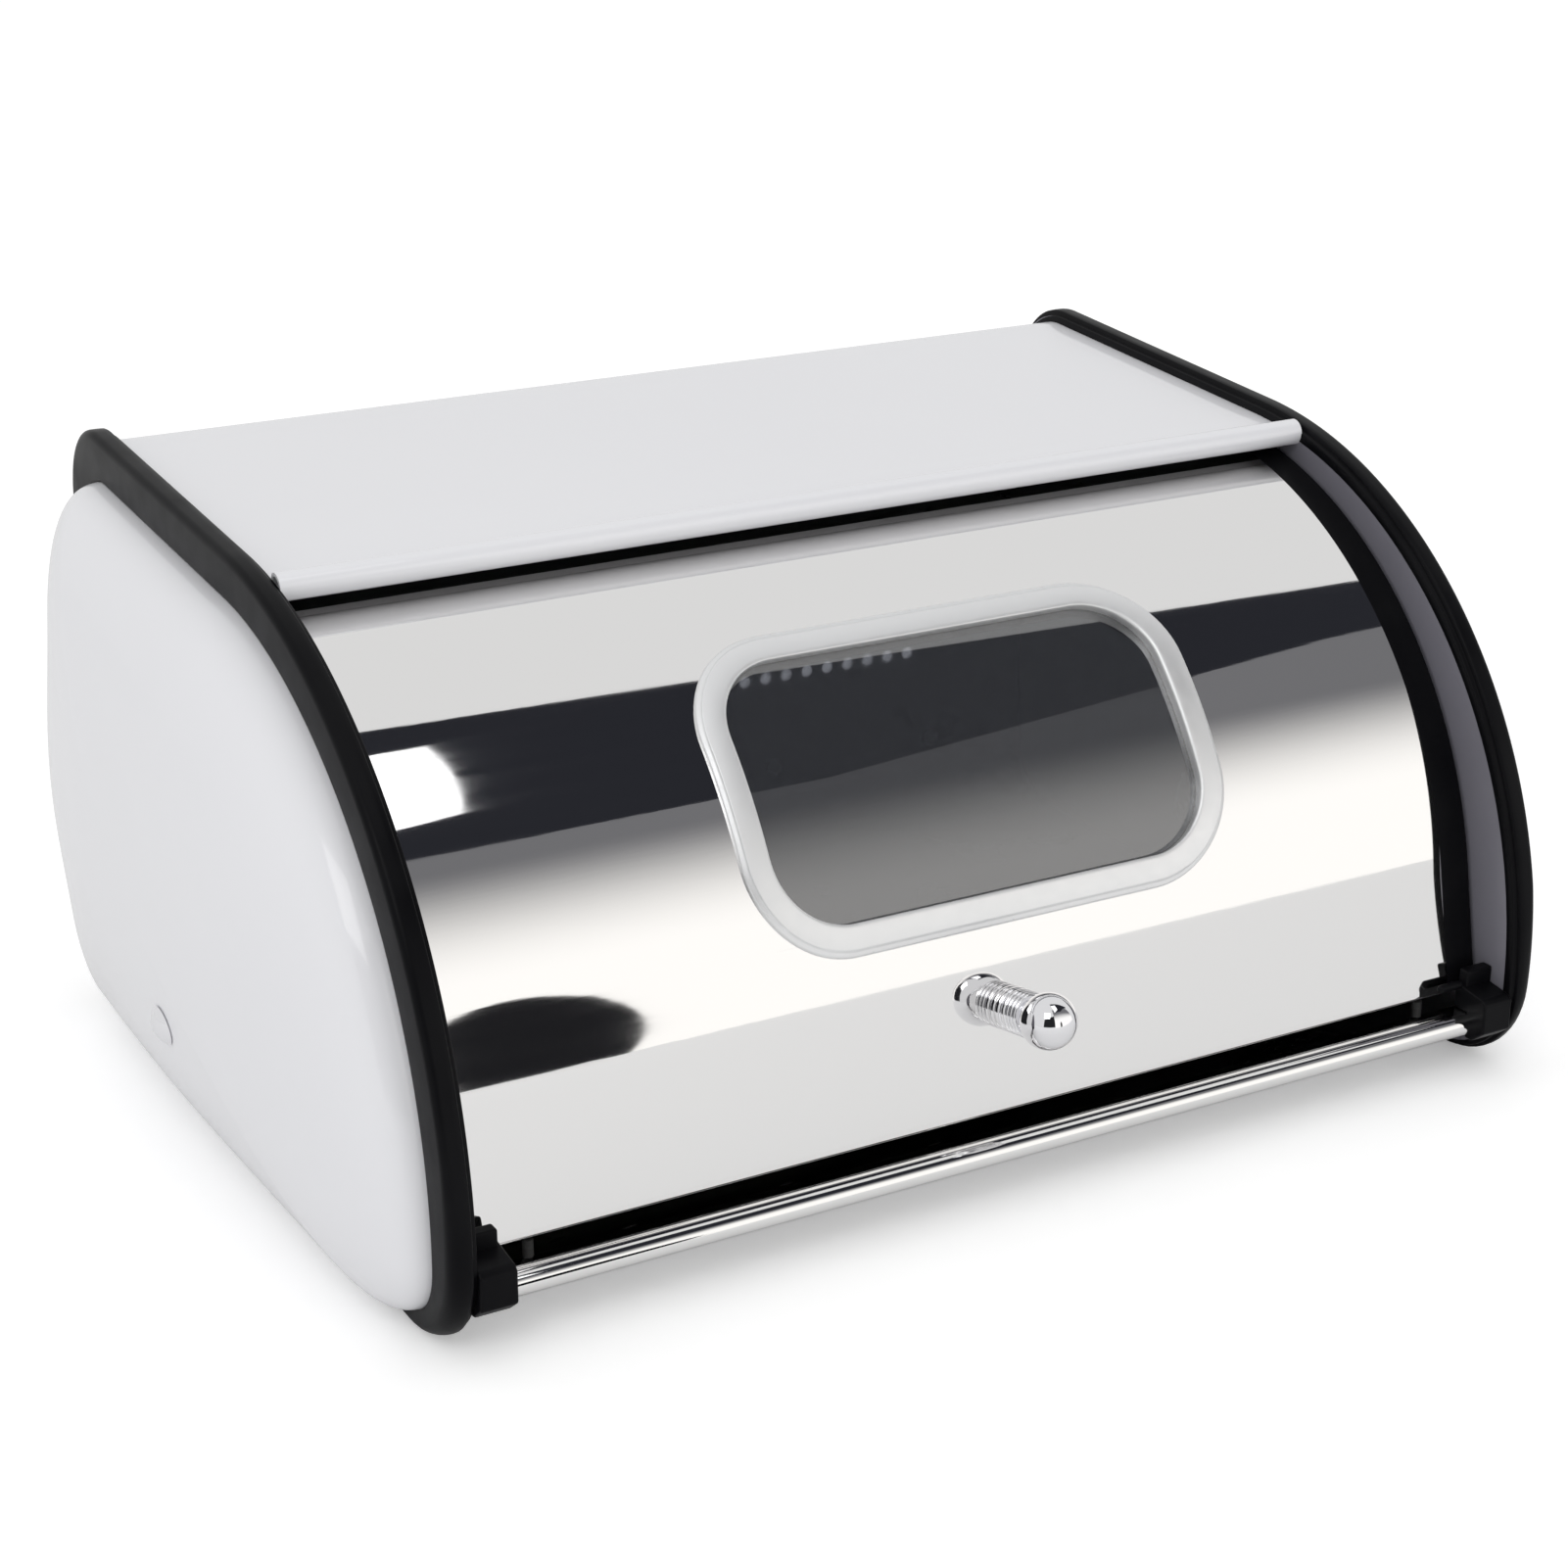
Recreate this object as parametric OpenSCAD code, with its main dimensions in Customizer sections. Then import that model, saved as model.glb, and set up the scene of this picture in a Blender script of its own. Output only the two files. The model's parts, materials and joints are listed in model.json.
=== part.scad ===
// Roll-top bread bin: a sheet metal body with domed ends and a glazed door
// that swings up and back about two side pivots. Millimetres, +Z up, the
// front faces -Y. The origin is the bottom centre of the closed bin's box.

/* [Body] */
// Width between the two edge trims
body_w = 340; // [280:5:420]
// Radius of the long front arc of the side outline
front_r = 149; // [140:1:160]
// Height of the front arc's centre above the table
front_centre_z = 30.5; // [26:0.5:36]
// Distance from the front arc's centre to the back face
back_reach = 126.5; // [110:0.5:140]
// Rise of the top towards the back, in degrees
top_slope = 4; // [0:0.5:8]
// Radius of the rear top corner
rear_top_r = 24; // [16:1:30]
// Radius of the two bottom corners, which are the feet
foot_r = 28; // [20:0.5:30]
// Thickness of the painted sheets
sheet_t = 1; // [0.8:0.1:1.5]
// Step from the trims' crest down to the painted sheets
sheet_inset = 4; // [3:0.5:6]

/* [Side assemblies] */
// Thickness of each inner side plate
plate_t = 1.4; // [1:0.1:2]
// Width of each edge trim, measured across the bin
trim_w = 6.3; // [5:0.1:9]
// Width of the band that each trim shows at the side
trim_band = 13; // [10:0.5:16]
// Height of the band that each trim shows below its end cover
trim_base_band = 5; // [4:0.5:13]
// Height of each domed end cover above its trim
dome_h = 31; // [16:0.5:36]
// Thickness of the domed end covers
cover_t = 1.2; // [1:0.1:1.6]

/* [Door] */
// Height of the door's pivot above the table
pivot_z = 35.5; // [32:0.5:40]
// Distance of the pivot behind the front arc's centre
pivot_back = 6.5; // [0:0.5:10]
// Outer radius of the curved door sheet
door_r = 135; // [130:0.5:135.5]
// Thickness of the door sheet
door_t = 1; // [0.8:0.1:1.4]
// Angle of the door's top edge above the pivot, in degrees
door_top_angle = 79; // [74:0.5:82]
// Angle above the pivot below which the door's curve runs straight, in degrees
door_flat_angle = 11; // [8:0.5:14]
// Length of the door's straight lower part
door_flat_l = 38; // [36:0.5:39]
// Gap between each end of the door sheet and the side plate
door_end_gap = 1.3; // [1:0.1:3]

/* [Window] */
// Clear width of the window
window_w = 140; // [100:1:180]
// Clear height of the window, straight across
window_h = 76.5; // [50:1:90]
// Corner radius of the clear opening
window_corner_r = 21; // [12:1:28]
// Angle of the window's middle above the pivot, in degrees
window_angle = 37.6; // [30:0.1:45]
// Sideways place of the window's middle
window_x = 5; // [-15:0.5:15]
// Width of the window frame's face
frame_face = 8.5; // [6:0.5:12]
// Height of the window frame above the door sheet
frame_h = 2.2; // [1.5:0.1:3]

/* [Knob] */
// Radius of the knob's ball
ball_r = 8; // [6:0.1:9]
// Distance from the door sheet to the ball's middle
knob_reach = 17.2; // [15:0.1:19]
// Radius of the ringed stem behind the ball
stem_r = 6.5; // [4:0.1:7]
// Distance of the knob below the top of the door's straight part
knob_drop = 9.6; // [8:0.1:20]
// Sideways place of the knob
knob_x = 3; // [-15:0.5:15]

/* [Sill] */
// Radius of the rolled edge of the sill strip
sill_roll_r = 3.4; // [2.4:0.1:3.6]
// Width of each sill bracket
bracket_w = 10.6; // [8:0.1:14]
// Distance from the pivot to the front of the sill brackets
bracket_reach = 155; // [153:0.5:158]

/* [Vents] */
// Diameter of each vent hole in the back
vent_d = 4.2; // [3:0.1:6]
// Spacing of the vent holes
vent_pitch = 8.3; // [7:0.1:12]
// Number of vent holes in each of the two groups
vent_count = 10; // [4:1:12]
// Distance of the outermost vent hole from the middle
vent_reach = 120; // [100:1:130]
// Height of the row of vent holes
vent_z = 65; // [40:1:120]

/* [Hidden] */
$fn = 96;

half_w = body_w / 2;
plate_x = half_w - plate_t;
trim_x = half_w + trim_w;

// The bin's box runs from the front of the sill brackets to the back face.
pivot_y = (bracket_reach - (back_reach - pivot_back)) / 2;
front_centre_y = pivot_y - pivot_back;
back_y = front_centre_y + back_reach;

door_half_w = plate_x - door_end_gap;
arm_t = 1.2;
arm_x = door_half_w - arm_t;
pin_r = 3;
bush_r = 4.5;
running_clearance = 0.05;
pin_inner_x = arm_x - 7;
hinge_boss_r = 12;
rivet_r = 1.6;
screw_r = 1.2;
knob_screw_r = 2;

// Sides of the bin: +1 is the right, -1 is the left.
module on_side(side) mirror([side < 0 ? 1 : 0, 0, 0]) children();

// Turns a side-view shape, drawn as depth and height, into a solid from x0 to x1.
module along_x(x0, x1) translate([x0, 0, 0]) rotate([90, 0, 90]) linear_extrude(x1 - x0) children();

function arc_points(centre, r, a0, a1, step = 3) =
  let (n = max(2, ceil(abs(a1 - a0) / step)))
  [for (i = [0:n]) centre + r * [cos(a0 + (a1 - a0) * i / n), sin(a0 + (a1 - a0) * i / n)]];

// The side outline, set in by d, with its own corner radii and height of its bottom edge.
function side_outline(d, corner_r = foot_r, top_r = rear_top_r, step = 3, base = undef) =
  let (
    r = front_r - d,
    corner_z = (is_undef(base) ? d : base) + corner_r,
    foot_rise = asin((front_centre_z - corner_z) / (r - corner_r)),
    foot_y = front_centre_y - (r - corner_r) * cos(foot_rise),
    top_y = back_y - d - top_r,
    top_z = front_centre_z
      + (r - top_r + (top_y - front_centre_y) * sin(top_slope)) / cos(top_slope)
  )
  concat(
    arc_points([back_y - d - corner_r, corner_z], corner_r, -90, 0, step * 4),
    arc_points([top_y, top_z], top_r, 0, 90 + top_slope, step * 3),
    arc_points([front_centre_y, front_centre_z], r, 90 + top_slope, 180 + foot_rise, step),
    arc_points([foot_y, corner_z], corner_r, 180 + foot_rise, 270, step * 4));

// A band of the side outline between two insets.
module outline_band(outer, inner) difference() {
  polygon(side_outline(outer, max(foot_r - outer, 2), rear_top_r - outer));
  polygon(side_outline(inner, max(foot_r - inner, 2), rear_top_r - inner));
}

// Places a shape at an angle above the pivot, its Z pointing out of the door.
module at_door(angle, x = 0) translate([x, pivot_y, pivot_z]) rotate([90 - angle, 0, 0]) children();

// Places a shape at the knob's axis, from the door's outer face.
module at_knob(out = 0) at_door(door_flat_angle, knob_x) translate([0, -knob_drop, door_r + out]) children();

// A stretch of tube wall about the pivot, seen from the side.
module door_arc(r_out, r_in, a_low, a_high) translate([pivot_y, pivot_z]) difference() {
  intersection() {
    circle(r_out, $fn = 240);
    polygon(concat([[0, 0]], arc_points([0, 0], 2 * r_out, 180 - a_high, 180 - a_low, 15)));
  }
  circle(r_in, $fn = 240);
}

module rounded_rect(w, h, r) {
  square([w - 2 * r, h], center = true);
  square([w, h - 2 * r], center = true);
  for (sx = [-1, 1]) for (sy = [-1, 1]) translate([sx * (w / 2 - r), sy * (h / 2 - r)]) circle(r);
}

// The window's clear shape grown by a margin, cut straight through the door.
module window_prism(grow) at_door(window_angle, window_x)
  translate([0, 0, door_r * 0.6]) linear_extrude(door_r * 0.6)
    rounded_rect(window_w + 2 * grow, window_h + 2 * grow, window_corner_r + grow);

window_step = 2.5;
pane_margin = 5;
retainer_margin = 9;
pane_t = 1.5;
retainer_t = 1.5;
pane_r = door_r - door_t;
window_screw_x = [-45, 0, 45];
window_screw_offset = window_h / 2 + 7;

module window_screw_shafts(r) at_door(window_angle, window_x)
  for (x = window_screw_x) for (s = [-1, 1]) translate([x, s * window_screw_offset, door_r * 0.85])
    cylinder(r = r, h = door_r * 0.12 + 0.6);

/* Body sheets */
sheet_x = plate_x;
base_front_y = pivot_y - 127.5;
top_front_y = pivot_y - 36.5;
bead_r = 4;
bead_z = front_centre_z + front_r - 6;
seam_lap = 14;
back_seam_z = 148;
base_seam_z = 34;
top_rivet_z = back_seam_z + seam_lap / 2;
base_rivet_z = base_seam_z - 3;
seam_rivet_x = [-130, -65, 0, 65, 130];

module base_panel() color("whitesmoke") difference() {
  along_x(-sheet_x, sheet_x) intersection() {
    outline_band(sheet_inset, sheet_inset + sheet_t);
    translate([base_front_y, 0]) square([back_y - base_front_y, base_seam_z]);
  }
  seam_rivet_holes(base_rivet_z);
}

module back_panel() color("whitesmoke") difference() {
  along_x(-sheet_x, sheet_x) intersection() {
    outline_band(sheet_inset + sheet_t, sheet_inset + 2 * sheet_t);
    translate([back_y - 60, base_seam_z - seam_lap])
      square([60, back_seam_z - base_seam_z + 2 * seam_lap]);
  }
  for (s = [-1, 1]) for (i = [0:vent_count - 1])
    translate([s * (vent_reach - i * vent_pitch), back_y, vent_z]) rotate([90, 0, 0])
      cylinder(d = vent_d, h = 20, center = true, $fn = 32);
  seam_rivet_holes(top_rivet_z);
  seam_rivet_holes(base_rivet_z);
}

module seam_rivet_holes(z) for (x = seam_rivet_x) translate([x, back_y - sheet_inset, z])
  rotate([90, 0, 0]) cylinder(r = rivet_r, h = 12, center = true, $fn = 32);

module top_panel() color("whitesmoke") difference() {
  union() {
    along_x(-sheet_x, sheet_x) intersection() {
      outline_band(sheet_inset, sheet_inset + sheet_t);
      translate([top_front_y, back_seam_z]) square([back_y - top_front_y, 60]);
    }
    translate([0, top_front_y, bead_z]) rotate([0, 90, 0])
      cylinder(r = bead_r, h = 2 * sheet_x, center = true);
  }
  translate([0, top_front_y, bead_z]) rotate([0, 90, 0])
    cylinder(r = bead_r - sheet_t, h = 2 * sheet_x + 2, center = true);
  seam_rivet_holes(top_rivet_z);
}

// A row of rivets along Y, each with a flat head outside the back and one inside.
rivet_head_r = 2.8;
rivet_head_h = 0.8;
module seam_rivets(z) for (x = seam_rivet_x) translate([x, back_y - sheet_inset, z]) rotate([90, 0, 0]) {
  cylinder(r = rivet_r, h = 2 * sheet_t, $fn = 32);
  translate([0, 0, -rivet_head_h]) cylinder(r = rivet_head_r, h = rivet_head_h, $fn = 32);
  translate([0, 0, 2 * sheet_t]) cylinder(r = rivet_head_r, h = rivet_head_h, $fn = 32);
}

module top_seam_rivets() color("silver") seam_rivets(top_rivet_z);
module base_seam_rivets() color("silver") seam_rivets(base_rivet_z);

/* Side assemblies */
module pivot_hole(r) translate([0, pivot_y, pivot_z]) rotate([0, 90, 0])
  cylinder(r = r, h = 4 * half_w, center = true);

module side_plate(side) color("dimgray") on_side(side) difference() {
  along_x(plate_x, half_w) polygon(side_outline(2, foot_r - 2, rear_top_r - 2));
  pivot_hole(pin_r);
  cover_rivet_hole(cover_rivet_r);
}

// Outline of the opening in each trim that its end cover fills.
cover_corner_r = 20;
cover_top_r = 20;
cover_outline = side_outline(trim_band, cover_corner_r, cover_top_r, 6, trim_base_band);

trim_ridge_w = 4.8;
trim_step = 0.8;
module edge_trim(side) color("#26262a") on_side(side) difference() {
  union() {
    along_x(half_w, half_w + trim_ridge_w) polygon(side_outline(0));
    along_x(half_w + trim_ridge_w, trim_x)
      polygon(side_outline(trim_step, foot_r - trim_step, rear_top_r - trim_step));
  }
  along_x(half_w - 1, trim_x + 1) polygon(cover_outline);
}

// Height of the dome above its rim, where s runs from 0 at the middle to 1 at the rim.
function dome_rise(s, h) = h * pow(1 - pow(s, 2.6), 0.42);
dome_rings = 11;
cover_middle = [front_centre_y + 10, 88];
// Half depth and half height of the ellipse that the rings turn into towards the middle
cover_ellipse = [118, 74];
// The outline with its straight runs divided into steps of at most 12 mm.
function divided(points) = [for (i = [0:len(points) - 1])
  let (a = points[i], b = points[(i + 1) % len(points)], n = ceil(norm(b - a) / 12))
  for (j = [0:n - 1]) a + (b - a) * j / n];
cover_rim = divided(cover_outline);
function cover_ring(s) = [for (p = cover_rim)
  let (
    v = p - cover_middle,
    e = v / norm([v[0] / cover_ellipse[0], v[1] / cover_ellipse[1]]),
    w = s * s)
  cover_middle + s * (w * v + (1 - w) * e)];
function ring_size(k) = cos(90 * k / dome_rings);

// One skin of the dome, from its rim to its middle, shrunk by a factor.
function dome_skin(shrink, h) = concat(
  [for (k = [0:dome_rings - 1]) for (p = cover_ring(shrink * ring_size(k)))
    [trim_x - cover_t + dome_rise(ring_size(k), h), p[0], p[1]]],
  [[trim_x - cover_t + h, cover_middle[0], cover_middle[1]]]);

function ring_faces(n, first, flip) = [for (k = [0:dome_rings - 2]) for (i = [0:n - 1])
  let (a = first + k * n + i, b = first + k * n + (i + 1) % n)
  flip ? [a, a + n, b + n, b] : [a, b, b + n, a + n]];

function tip_faces(n, first, flip) = [for (i = [0:n - 1])
  let (a = first + (dome_rings - 1) * n + i, b = first + (dome_rings - 1) * n + (i + 1) % n,
       t = first + dome_rings * n)
  flip ? [a, t, b] : [a, b, t]];

module end_cover(side) color("whitesmoke") on_side(side) {
  n = len(cover_ring(1));
  second = n * dome_rings + 1;
  skins = concat(dome_skin(1, dome_h + cover_t), dome_skin(0.98, dome_h));
  rim = [for (i = [0:n - 1]) [i, second + i, second + (i + 1) % n, (i + 1) % n]];
  difference() {
    polyhedron(skins, concat(ring_faces(n, 0, true), tip_faces(n, 0, true),
      ring_faces(n, second, false), tip_faces(n, second, false), rim), convexity = 4);
    cover_rivet_hole(cover_rivet_r + 0.2);
  }
}

// The rivet that holds each end cover: its place on the side plate, and the dome's height
// above the trim and slopes there.
cover_rivet_r = 2.5;
cover_rivet_y = front_centre_y - 18.8;
cover_rivet_z = 50.2;
cover_rivet_rise = 28.26;
cover_rivet_slopes = [-1.7, 8.9];
cover_rivet_head_r = 5.9;
cover_rivet_head_h = 3;
cover_rivet_sphere_r = 7.3;
module cover_rivet_hole(r) translate([0, cover_rivet_y, cover_rivet_z]) rotate([0, 90, 0])
  cylinder(r = r, h = trim_x + 2 * dome_h);

module cover_rivet(side) color("silver") on_side(side) translate([0, cover_rivet_y, cover_rivet_z]) {
  head_x = trim_x + cover_rivet_rise;
  rotate([0, 90, 0]) translate([0, 0, plate_x]) cylinder(r = cover_rivet_r, h = head_x - plate_x + 0.5);
  translate([head_x, 0, 0]) rotate([0, 0, cover_rivet_slopes[0]]) rotate([0, 90 + cover_rivet_slopes[1], 0])
    intersection() {
      translate([0, 0, cover_rivet_head_h - cover_rivet_sphere_r]) sphere(cover_rivet_sphere_r);
      cylinder(r = cover_rivet_head_r, h = cover_rivet_head_h + 1);
    }
}

/* Hinge hardware */
pin_head_r = 6;
pin_head_h = 2;
// A shank through the side plate, with a flat head outside it that the end cover hides.
module pivot_pin(side) color("silver") on_side(side) translate([0, pivot_y, pivot_z]) rotate([0, 90, 0]) {
  translate([0, 0, pin_inner_x]) cylinder(r = pin_r, h = half_w - pin_inner_x + 0.5);
  translate([0, 0, half_w]) cylinder(r = pin_head_r, h = pin_head_h);
}

module pivot_washer(side) color("white") on_side(side) translate([door_half_w + 0.3, pivot_y, pivot_z])
  rotate([0, 90, 0]) difference() {
    cylinder(r = 8, h = plate_x - door_half_w - 0.3);
    translate([0, 0, -1]) cylinder(r = pin_r, h = 10);
  }

module push_nut(side) color("silver") on_side(side) translate([pin_inner_x + 1, pivot_y, pivot_z])
  rotate([0, 90, 0]) difference() {
    union() {
      cylinder(r = 5.5, h = 1);
      cylinder(r = 4.2, h = 2.2);
    }
    translate([0, 0, -1]) cylinder(r = pin_r, h = 10);
  }

/* Sill */
sill_t = 0.8;
sill_top_z = 20.2;
sill_back_y = pivot_y - 120.5;
sill_roll_y = pivot_y - 147;
sill_half_w = plate_x - 2;
// A flat ledge under the door, a back leg down to the base and a rolled front edge.
module sill_strip() color("gainsboro") difference() {
  union() {
    along_x(-sill_half_w, sill_half_w) {
      translate([sill_roll_y, sill_top_z - sill_t]) square([sill_back_y - sill_roll_y, sill_t]);
      translate([sill_back_y - sill_t, sheet_inset + sheet_t])
        square([sill_t, sill_top_z - sheet_inset - sheet_t]);
    }
    translate([0, sill_roll_y, sill_top_z - sill_roll_r]) rotate([0, 90, 0])
      cylinder(r = sill_roll_r, h = 2 * sill_half_w, center = true);
  }
  translate([0, sill_roll_y, sill_top_z - sill_roll_r]) rotate([0, 90, 0])
    cylinder(r = sill_roll_r - sill_t, h = 2 * sill_half_w + 2, center = true);
}

bracket_front_y = pivot_y - bracket_reach;
bracket_back_y = pivot_y - 141.4;
bracket_top_z = 28.2;
bracket_bottom_z = 12;
tab_t = 4;
tab_rise = 4.5;
peg_r = 1.3;
peg_reach = 6.5;
peg_y = bracket_back_y - 1.3;
peg_z = bracket_top_z - 0.5;
// An end block that holds the sill's front edge and carries a tab in front of the door's corner.
// The right one also has a peg.
module sill_bracket(side) color("#1c1c1f") on_side(side) {
  x0 = plate_x - bracket_w;
  difference() {
    union() {
      along_x(x0, plate_x) polygon([
        [bracket_front_y, bracket_bottom_z + 4], [bracket_front_y, bracket_top_z - 3],
        [bracket_front_y + 1.5, bracket_top_z - 1.5], [bracket_back_y, bracket_top_z],
        [bracket_back_y, sill_top_z + 0.1], [sill_roll_y, sill_top_z + 0.1],
        [sill_roll_y, bracket_bottom_z], [bracket_front_y + 5, bracket_bottom_z]]);
      along_x(x0 + 1, plate_x) translate([bracket_back_y - tab_t, bracket_top_z - tab_rise])
        square([tab_t, 2 * tab_rise]);
      if (side > 0) {
        translate([x0 - peg_reach, peg_y, peg_z]) rotate([0, 90, 0])
          cylinder(r = peg_r, h = peg_reach + 2, $fn = 32);
        translate([x0 - peg_reach, peg_y, peg_z]) sphere(peg_r, $fn = 32);
      }
    }
    translate([-half_w, sill_roll_y, sill_top_z - sill_roll_r]) rotate([0, 90, 0])
      cylinder(r = sill_roll_r, h = 2 * half_w);
  }
}

// A soft buffer under the hem of the door's lower corner, which the closed door rests on.
buffer_r = 1.5;
buffer_h = 2.4;
buffer_x = door_half_w - 20;
buffer_y = pivot_y - 137;
module door_buffer(side) color("#1c1c1f") on_side(side)
  translate([buffer_x, buffer_y, sill_top_z]) cylinder(r = buffer_r, h = buffer_h);

/* Door */
door_hem = 4;
// The sheet's curve, its straight lower part and the hem folded in at its bottom edge.
module door_panel() color("lightgray") difference() {
  along_x(-door_half_w, door_half_w) {
    door_arc(door_r, door_r - door_t, door_flat_angle, door_top_angle);
    translate([pivot_y, pivot_z]) rotate(180 - door_flat_angle) {
      translate([door_r - door_t, -0.01]) square([door_t, door_flat_l + 0.01]);
      translate([door_r - door_hem, door_flat_l - door_t]) square([door_hem, door_t]);
    }
  }
  window_prism(window_step);
  window_screw_shafts(screw_r);
  at_knob(-10) cylinder(r = knob_screw_r + 0.1, h = 20);
}

flange_w = 12;
arm_low_angle = 12;
arm_high_angle = 64;
arm_stud_angles = [17, 38, 59];
arm_stud_x = door_half_w - flange_w + 4;
module arm_stud_shafts() for (s = [-1, 1]) for (a = arm_stud_angles)
  at_door(a, s * arm_stud_x) translate([0, 0, door_r * 0.9]) cylinder(r = rivet_r, h = door_r, $fn = 32);

// Lightening holes in each arm: angles above the pivot, distance from it and radius
arm_hole_angles = [25, 51];
arm_hole_reach = 86;
arm_hole_r = 15;
arm_fan_r = 30;
// Neck that joins the arm's hub to its fan, about the pivot
arm_neck = [[6, -11], [-40, -2], [-36, 34], [-18, 34], [10, 8]];
module arm_web() {
  difference() {
    door_arc(door_r - door_t, arm_fan_r, arm_low_angle, arm_high_angle);
    for (a = arm_hole_angles) translate([pivot_y, pivot_z]) rotate(180 - a)
      translate([arm_hole_reach, 0]) circle(arm_hole_r);
  }
  translate([pivot_y, pivot_z]) {
    circle(hinge_boss_r);
    intersection() {
      circle(arm_fan_r + 6);
      polygon(arm_neck);
    }
  }
}

module door_arm(side) color("silver") on_side(side) difference() {
  union() {
    along_x(arm_x, door_half_w) arm_web();
    along_x(door_half_w - flange_w, door_half_w)
      door_arc(door_r - door_t, door_r - door_t - arm_t, arm_low_angle, arm_high_angle);
  }
  pivot_hole(bush_r);
  arm_stud_shafts();
}

bush_collar_r = 7;
bush_collar_t = 1.2;
module arm_bush(side) color("white") on_side(side) translate([0, pivot_y, pivot_z]) rotate([0, 90, 0])
  difference() {
    union() {
      translate([0, 0, arm_x]) cylinder(r = bush_r, h = arm_t);
      translate([0, 0, arm_x - bush_collar_t]) cylinder(r = bush_collar_r, h = bush_collar_t);
    }
    cylinder(r = pin_r + running_clearance, h = half_w);
  }

// Studs welded to the sheet's inner face. Each one's flat head stands just clear of the curved flange.
arm_stud_seat = door_r - door_t - arm_t - 0.05;
module arm_studs() color("silver") for (s = [-1, 1]) for (a = arm_stud_angles)
  at_door(a, s * arm_stud_x) translate([0, 0, arm_stud_seat - rivet_head_h]) {
    cylinder(r = rivet_head_r, h = rivet_head_h, $fn = 32);
    cylinder(r = rivet_r, h = door_r - door_t - 0.01 - arm_stud_seat + rivet_head_h, $fn = 32);
  }

module window_frame() color("silver") difference() {
  union() {
    intersection() {
      along_x(-door_half_w, door_half_w) door_arc(door_r + frame_h, door_r, -5, 74);
      window_prism(frame_face);
    }
    intersection() {
      along_x(-door_half_w, door_half_w) door_arc(door_r + 1, door_r - door_t, -5, 74);
      window_prism(window_step - 0.1);
    }
  }
  window_prism(0);
  window_screw_shafts(screw_r);
}

module window_pane() color("#50545c", 0.5) intersection() {
  along_x(-door_half_w, door_half_w) door_arc(pane_r, pane_r - pane_t, -5, 74);
  window_prism(pane_margin);
}

module window_retainer() color("#1c1c1f") difference() {
  intersection() {
    along_x(-door_half_w, door_half_w) door_arc(pane_r, pane_r - pane_t - retainer_t, -5, 74);
    window_prism(retainer_margin);
  }
  intersection() {
    along_x(-door_half_w, door_half_w) door_arc(pane_r + 1, pane_r - pane_t, -5, 74);
    window_prism(pane_margin);
  }
  window_prism(0);
  window_screw_shafts(screw_r);
}

module window_screws() color("silver") intersection() {
  union() {
    window_screw_shafts(screw_r);
    intersection() {
      window_screw_shafts(2.3);
      along_x(-door_half_w, door_half_w) door_arc(pane_r - pane_t - retainer_t, pane_r - 10, -5, 74);
    }
  }
  along_x(-door_half_w, door_half_w) door_arc(door_r + 1.2, pane_r - pane_t - retainer_t - 1.2, -5, 74);
}

/* Knob */
stem_core_r = 5.4;
// Start and width of each ring on the stem, out from the door
stem_rings = [[0, 2.4], [3, 2], [5.6, 1.1], [7.3, 1.1], [9, 1.1]];
knob_screw_reach = 13;
knob_washer_t = 1;
// Foot of the washer, just clear of the sheet's inner face
knob_washer_out = -door_t - 0.4 - knob_washer_t;
module door_knob() color("silver") at_knob() difference() {
  union() {
    translate([0, 0, knob_reach]) sphere(ball_r);
    cylinder(r = stem_core_r, h = knob_reach - ball_r / 2);
    for (ring = stem_rings) translate([0, 0, ring[0]]) cylinder(r = stem_r, h = ring[1]);
  }
  translate([0, 0, -1]) cylinder(r = knob_screw_r, h = knob_screw_reach);
}

module knob_washer() color("silver") at_knob(knob_washer_out) difference() {
  cylinder(r = 6, h = knob_washer_t);
  translate([0, 0, -1]) cylinder(r = knob_screw_r, h = 4);
}

module knob_screw() color("silver") at_knob(knob_washer_out) {
  translate([0, 0, -2]) cylinder(r = 3.6, h = 2);
  cylinder(r = knob_screw_r, h = knob_screw_reach);
}

base_panel();
back_panel();
top_panel();
top_seam_rivets();
base_seam_rivets();
side_plate(-1);  // side_plate_left
side_plate(1);  // side_plate_right
edge_trim(-1);  // edge_trim_left
edge_trim(1);  // edge_trim_right
end_cover(-1);  // end_cover_left
end_cover(1);  // end_cover_right
cover_rivet(-1);  // cover_rivet_left
cover_rivet(1);  // cover_rivet_right
sill_strip();
sill_bracket(-1);  // sill_bracket_left
sill_bracket(1);  // sill_bracket_right
door_buffer(-1);  // door_buffer_left
door_buffer(1);  // door_buffer_right
pivot_pin(-1);  // pivot_pin_left
pivot_pin(1);  // pivot_pin_right
pivot_washer(-1);  // pivot_washer_left
pivot_washer(1);  // pivot_washer_right
push_nut(-1);  // push_nut_left
push_nut(1);  // push_nut_right
door_panel();
door_arm(-1);  // door_arm_left
door_arm(1);  // door_arm_right
arm_bush(-1);  // arm_bush_left
arm_bush(1);  // arm_bush_right
arm_studs();
window_frame();
window_pane();
window_retainer();
window_screws();
door_knob();
knob_washer();
knob_screw();
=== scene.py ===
"""Looks of a roll-top bread bin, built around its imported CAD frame. Metres, +Z up, the front faces -Y."""

import json
from math import acos, asin, ceil, cos, degrees, pi, radians, sin, sqrt

import bmesh
import bpy
from mathutils import Matrix, Vector


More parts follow.
